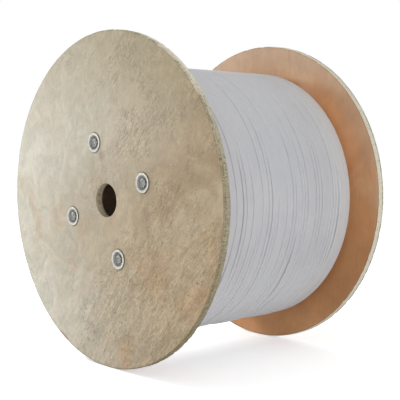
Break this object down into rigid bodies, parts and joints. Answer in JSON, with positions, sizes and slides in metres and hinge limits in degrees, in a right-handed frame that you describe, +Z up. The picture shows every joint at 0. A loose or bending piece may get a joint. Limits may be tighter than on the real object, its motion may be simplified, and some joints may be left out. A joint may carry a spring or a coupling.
{
  "type": "cable reel",
  "caption": "Plywood reel of two round flanges on a barrel, held by tie rods with nuts in cup washers, wound with grey cable.",
  "frame": {"origin": "on the floor under the middle of the reel, half way between the flanges", "axes": "+Y along the reel's axis from the front flange to the rear flange, +Z up, +X to the right seen from the front"},
  "size_m": [0.7999, 0.554, 0.8],
  "materials": {
    "flange_plywood": "bare weathered birch plywood, matt",
    "barrel_plywood": "bare bent plywood, matt",
    "cable_sheath": "light grey PVC sheath, matt",
    "washer_zinc": "zinc plated, dulled",
    "nut_zinc": "zinc plated, dulled",
    "rod_zinc": "zinc plated studding"
  },
  "bodies": {
    "root": {"front_flange": "flange_plywood", "rear_flange": "flange_plywood", "barrel": "barrel_plywood", "cable_winding": "cable_sheath", "front_cup_washers": "washer_zinc", "rear_cup_washers": "washer_zinc", "front_hex_nuts": "nut_zinc", "rear_hex_nuts": "nut_zinc", "tie_rod_1": "rod_zinc", "tie_rod_2": "rod_zinc", "tie_rod_3": "rod_zinc", "tie_rod_4": "rod_zinc"}
  },
  "joints": []
}
